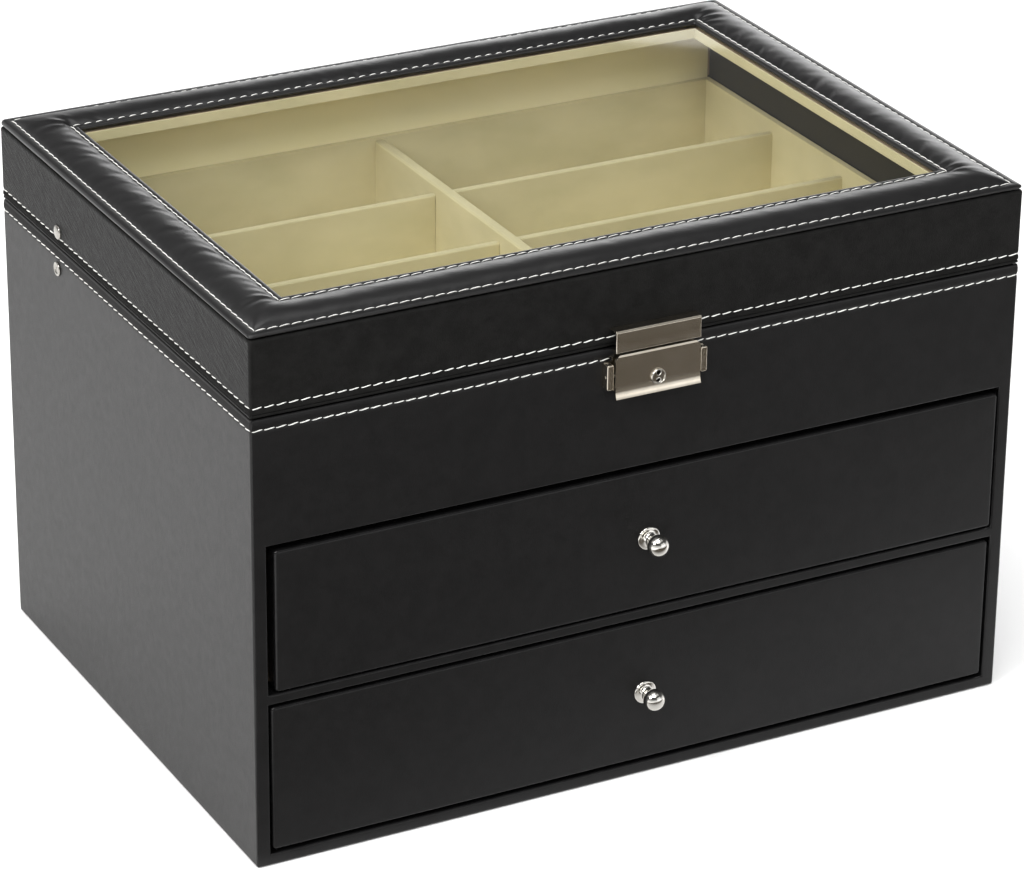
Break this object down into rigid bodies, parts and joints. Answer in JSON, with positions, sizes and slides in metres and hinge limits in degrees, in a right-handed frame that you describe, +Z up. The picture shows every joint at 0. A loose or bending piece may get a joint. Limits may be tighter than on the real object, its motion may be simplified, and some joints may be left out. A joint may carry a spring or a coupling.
{
  "type": "glasses box with drawers",
  "caption": "Leatherette-covered box for glasses: hinged window lid over a divided velvet tray, press lock on the front, and drawers below with round knobs.",
  "frame": {"origin": "middle of the underside, on the surface it stands on", "axes": "+X to the right seen from the front, +Y to the back, +Z up"},
  "size_m": [0.336, 0.255, 0.2263],
  "materials": {
    "board": "matte",
    "black_leatherette": "satin",
    "black_lining": "satin",
    "cream_velvet": "matte",
    "base_felt": "matte",
    "window_glass": "polished",
    "nickel": "polished",
    "steel": "satin"
  },
  "bodies": {
    "case": {"left_side_board": "board", "right_side_board": "board", "back_board": "board", "front_rail_board": "board", "bottom_board": "board", "drawer_shelf_board": "board", "tray_floor_board": "board", "left_side_leather": "black_leatherette", "right_side_leather": "black_leatherette", "back_leather": "black_leatherette", "front_leather": "black_leatherette", "base_felt": "base_felt", "tray_floor_velvet": "cream_velvet", "tray_liner": "cream_velvet", "tray_centre_divider": "cream_velvet", "tray_cross_divider_front": "cream_velvet", "tray_cross_divider_middle": "cream_velvet", "tray_cross_divider_rear": "cream_velvet", "lock_base_plate": "nickel", "lock_screws": "steel", "lock_hinge_pins": "steel", "lock_spring": "steel", "stay_case_rivet": "nickel", "hinge_cloth_lower": "cream_velvet"},
    "lid": {"lid_left_board": "board", "lid_right_board": "board", "lid_front_board": "board", "lid_back_board": "board", "lid_top_frame": "board", "lid_leather": "black_leatherette", "padded_frame": "black_leatherette", "window_trim": "cream_velvet", "glass_pane": "window_glass", "lid_lining": "black_lining", "hinge_cloth_upper": "cream_velvet", "lock_catch_plate": "nickel", "stay_lid_rivet": "nickel"},
    "stay_lower": {"stay_lower_arm": "steel", "stay_elbow_rivet": "steel"},
    "stay_upper": {"stay_upper_arm": "steel"},
    "lock_flap_body": {"lock_flap": "nickel"},
    "lock_key": {"key_cylinder": "nickel"},
    "upper_drawer": {"upper_drawer_front_board": "board", "upper_drawer_front_leather": "black_leatherette", "upper_drawer_sides": "board", "upper_drawer_back": "board", "upper_drawer_bottom": "board", "upper_drawer_lining": "cream_velvet", "upper_drawer_dividers": "cream_velvet", "upper_drawer_knob": "nickel", "upper_drawer_knob_screw": "steel"},
    "lower_drawer": {"lower_drawer_front_board": "board", "lower_drawer_front_leather": "black_leatherette", "lower_drawer_sides": "board", "lower_drawer_back": "board", "lower_drawer_bottom": "board", "lower_drawer_lining": "cream_velvet", "lower_drawer_dividers": "cream_velvet", "lower_drawer_knob": "nickel", "lower_drawer_knob_screw": "steel"}
  },
  "joints": [
    {"name": "lid_hinge", "type": "hinge", "parent": "case", "child": "lid", "pos_m": [0, 0.1215, 0.18915], "axis": [-1, 0, 0], "range_deg": [0, 95]},
    {"name": "stay_lower_pivot", "type": "hinge", "parent": "case", "child": "stay_lower", "pos_m": [-0.1583, 0.0635, 0.1796], "axis": [-1, 0, 0], "range_deg": [0, 131.5]},
    {"name": "stay_upper_pivot", "type": "hinge", "parent": "lid", "child": "stay_upper", "pos_m": [-0.1569, 0.062, 0.1959], "axis": [1, 0, 0], "range_deg": [0, 124.6]},
    {"name": "lock_flap_pivot", "type": "hinge", "parent": "case", "child": "lock_flap_body", "pos_m": [0.00095, -0.1244, 0.1783], "axis": [1, 0, 0], "range_deg": [0, 10], "stiffness_Nm_per_rad": 0.01},
    {"name": "key_turn", "type": "hinge", "parent": "lock_flap_body", "child": "lock_key", "pos_m": [0.00095, -0.1254, 0.1754], "axis": [0, -1, 0], "range_deg": [0, 90]},
    {"name": "upper_drawer_slide", "type": "slide", "parent": "case", "child": "upper_drawer", "axis": [0, -1, 0], "range_m": [0, 0.18]},
    {"name": "lower_drawer_slide", "type": "slide", "parent": "case", "child": "lower_drawer", "axis": [0, -1, 0], "range_m": [0, 0.18]}
  ],
  "couplings": [
    {"joint": "stay_lower_pivot", "follows": "lid_hinge", "ratio": 1.3822},
    {"joint": "stay_upper_pivot", "follows": "lid_hinge", "ratio": 1.3095}
  ]
}
